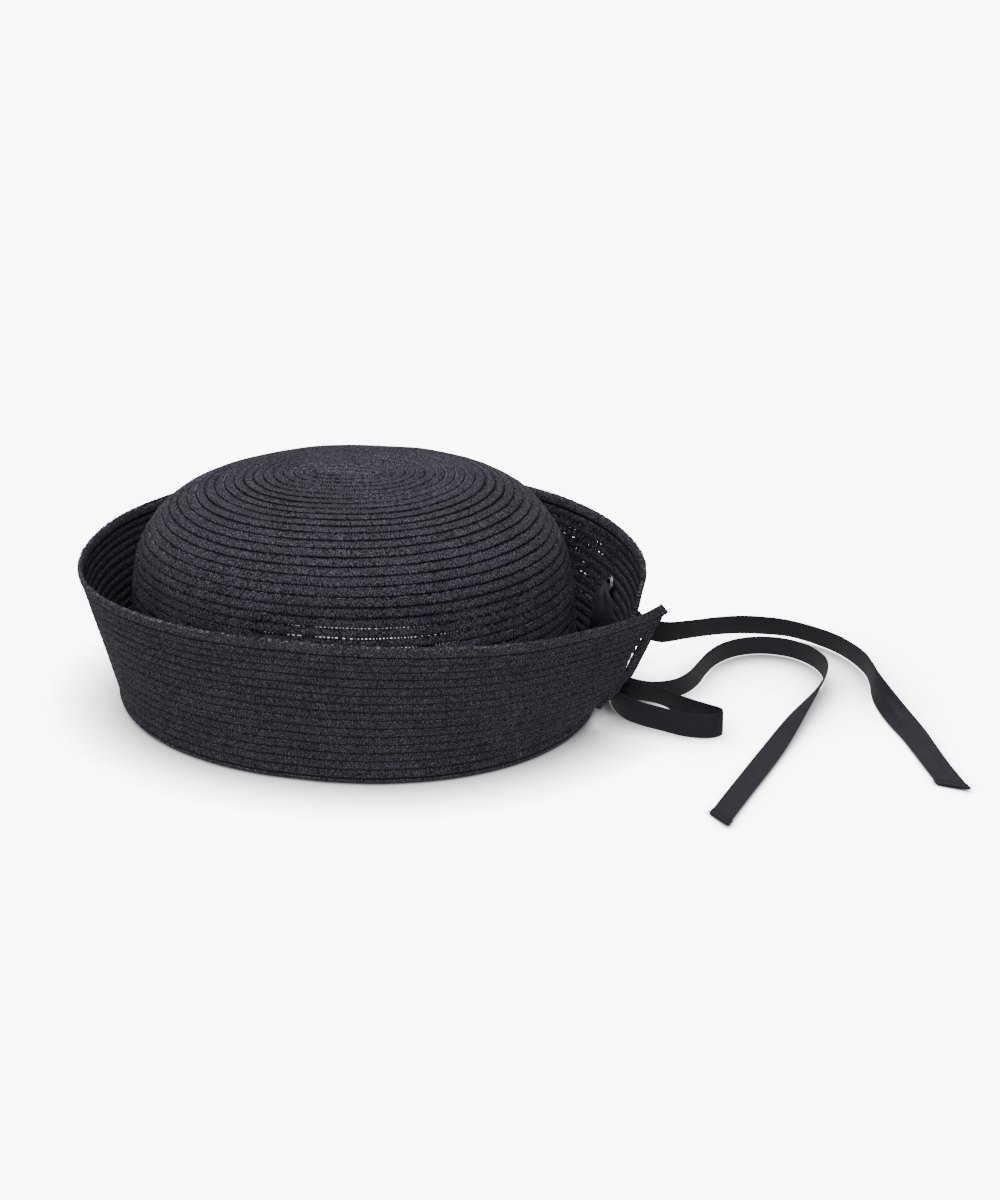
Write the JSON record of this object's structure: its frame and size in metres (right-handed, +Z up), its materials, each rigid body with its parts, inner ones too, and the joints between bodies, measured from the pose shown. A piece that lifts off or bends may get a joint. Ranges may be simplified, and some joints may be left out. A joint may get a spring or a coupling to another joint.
{
  "type": "sailor hat",
  "caption": "Black paper braid sailor hat: round crown, brim turned straight up and slit at the back, with a ribbon laced through eyelets beside the slit.",
  "frame": {"origin": "on the surface the hat stands on, under the middle of the crown and brim together", "axes": "+Z up out of the crown's top, +X towards the slit at the back of the hat, +Y towards the wearer's left when the back is seen from behind as +X"},
  "size_m": [0.4071, 0.2154, 0.111],
  "materials": {
    "braid": "matte black paper braid with fine specks",
    "enamel": "glossy black",
    "ribbon": "black grosgrain with a soft sheen"
  },
  "bodies": {
    "root": {"crown": "braid", "brim": "braid", "eyelet_upper": "enamel", "eyelet_lower": "enamel", "ribbon_inner_run": "ribbon", "ribbon_upper_end": "ribbon", "ribbon_lower_end": "ribbon"}
  },
  "joints": []
}
